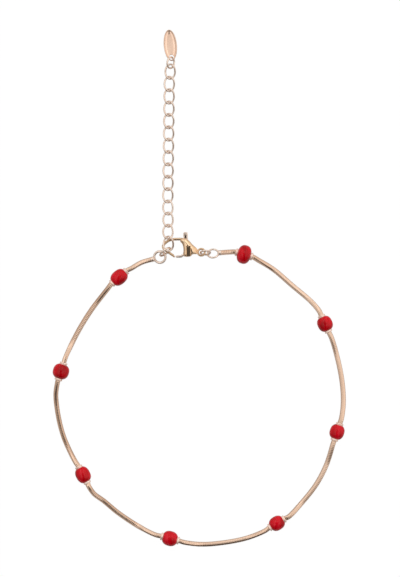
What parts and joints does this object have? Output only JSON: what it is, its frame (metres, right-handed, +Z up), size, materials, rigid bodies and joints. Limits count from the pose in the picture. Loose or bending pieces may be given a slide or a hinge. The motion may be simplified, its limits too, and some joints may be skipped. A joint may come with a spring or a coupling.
{
  "type": "beaded anklet",
  "caption": "Slim anklet: square snake chain threaded with round red enamel beads, closed by a lobster clasp, with a curb-link extender ending in an oval tag.",
  "frame": {"origin": "middle of the bounding box, on the surface the anklet lies on", "axes": "+Z up from the surface, +Y from the chain loop along the extender, +X to the right as seen from above with the extender at the top"},
  "size_m": [0.0732, 0.1292, 0.0048],
  "materials": {
    "chain_gold": "polished rose gold plating on a fine woven chain",
    "rose_gold": "polished rose gold plating",
    "clasp_gold": "polished yellow gold plating",
    "red_enamel": "glossy red enamel"
  },
  "bodies": {
    "anklet": {"snake_chain": "chain_gold", "bead_core_1": "rose_gold", "bead_core_2": "rose_gold", "bead_core_3": "rose_gold", "bead_core_4": "rose_gold", "bead_core_5": "rose_gold", "bead_core_6": "rose_gold", "bead_core_7": "rose_gold", "bead_core_8": "rose_gold", "bead_enamel_1": "red_enamel", "bead_enamel_2": "red_enamel", "bead_enamel_3": "red_enamel", "bead_enamel_4": "red_enamel", "bead_enamel_5": "red_enamel", "bead_enamel_6": "red_enamel", "bead_enamel_7": "red_enamel", "bead_enamel_8": "red_enamel", "clasp_body": "clasp_gold", "clasp_pin": "clasp_gold", "jump_ring_clasp": "rose_gold", "jump_ring_connector": "rose_gold", "jump_ring_tag": "rose_gold", "link_01": "rose_gold", "link_02": "rose_gold", "link_03": "rose_gold", "link_04": "rose_gold", "link_05": "rose_gold", "link_06": "rose_gold", "link_07": "rose_gold", "link_08": "rose_gold", "link_09": "rose_gold", "link_10": "rose_gold", "link_11": "rose_gold", "link_12": "rose_gold", "link_13": "rose_gold", "link_14": "rose_gold", "link_15": "rose_gold", "tag": "rose_gold"},
    "trigger": {"clasp_lever": "clasp_gold"}
  },
  "joints": [
    {"name": "clasp_trigger", "type": "hinge", "parent": "anklet", "child": "trigger", "pos_m": [-0.00284, 0.00955, 0.00135], "axis": [0, 0, -1], "range_deg": [0, 25], "stiffness_Nm_per_rad": 0.002, "springref_deg": -11.46}
  ]
}
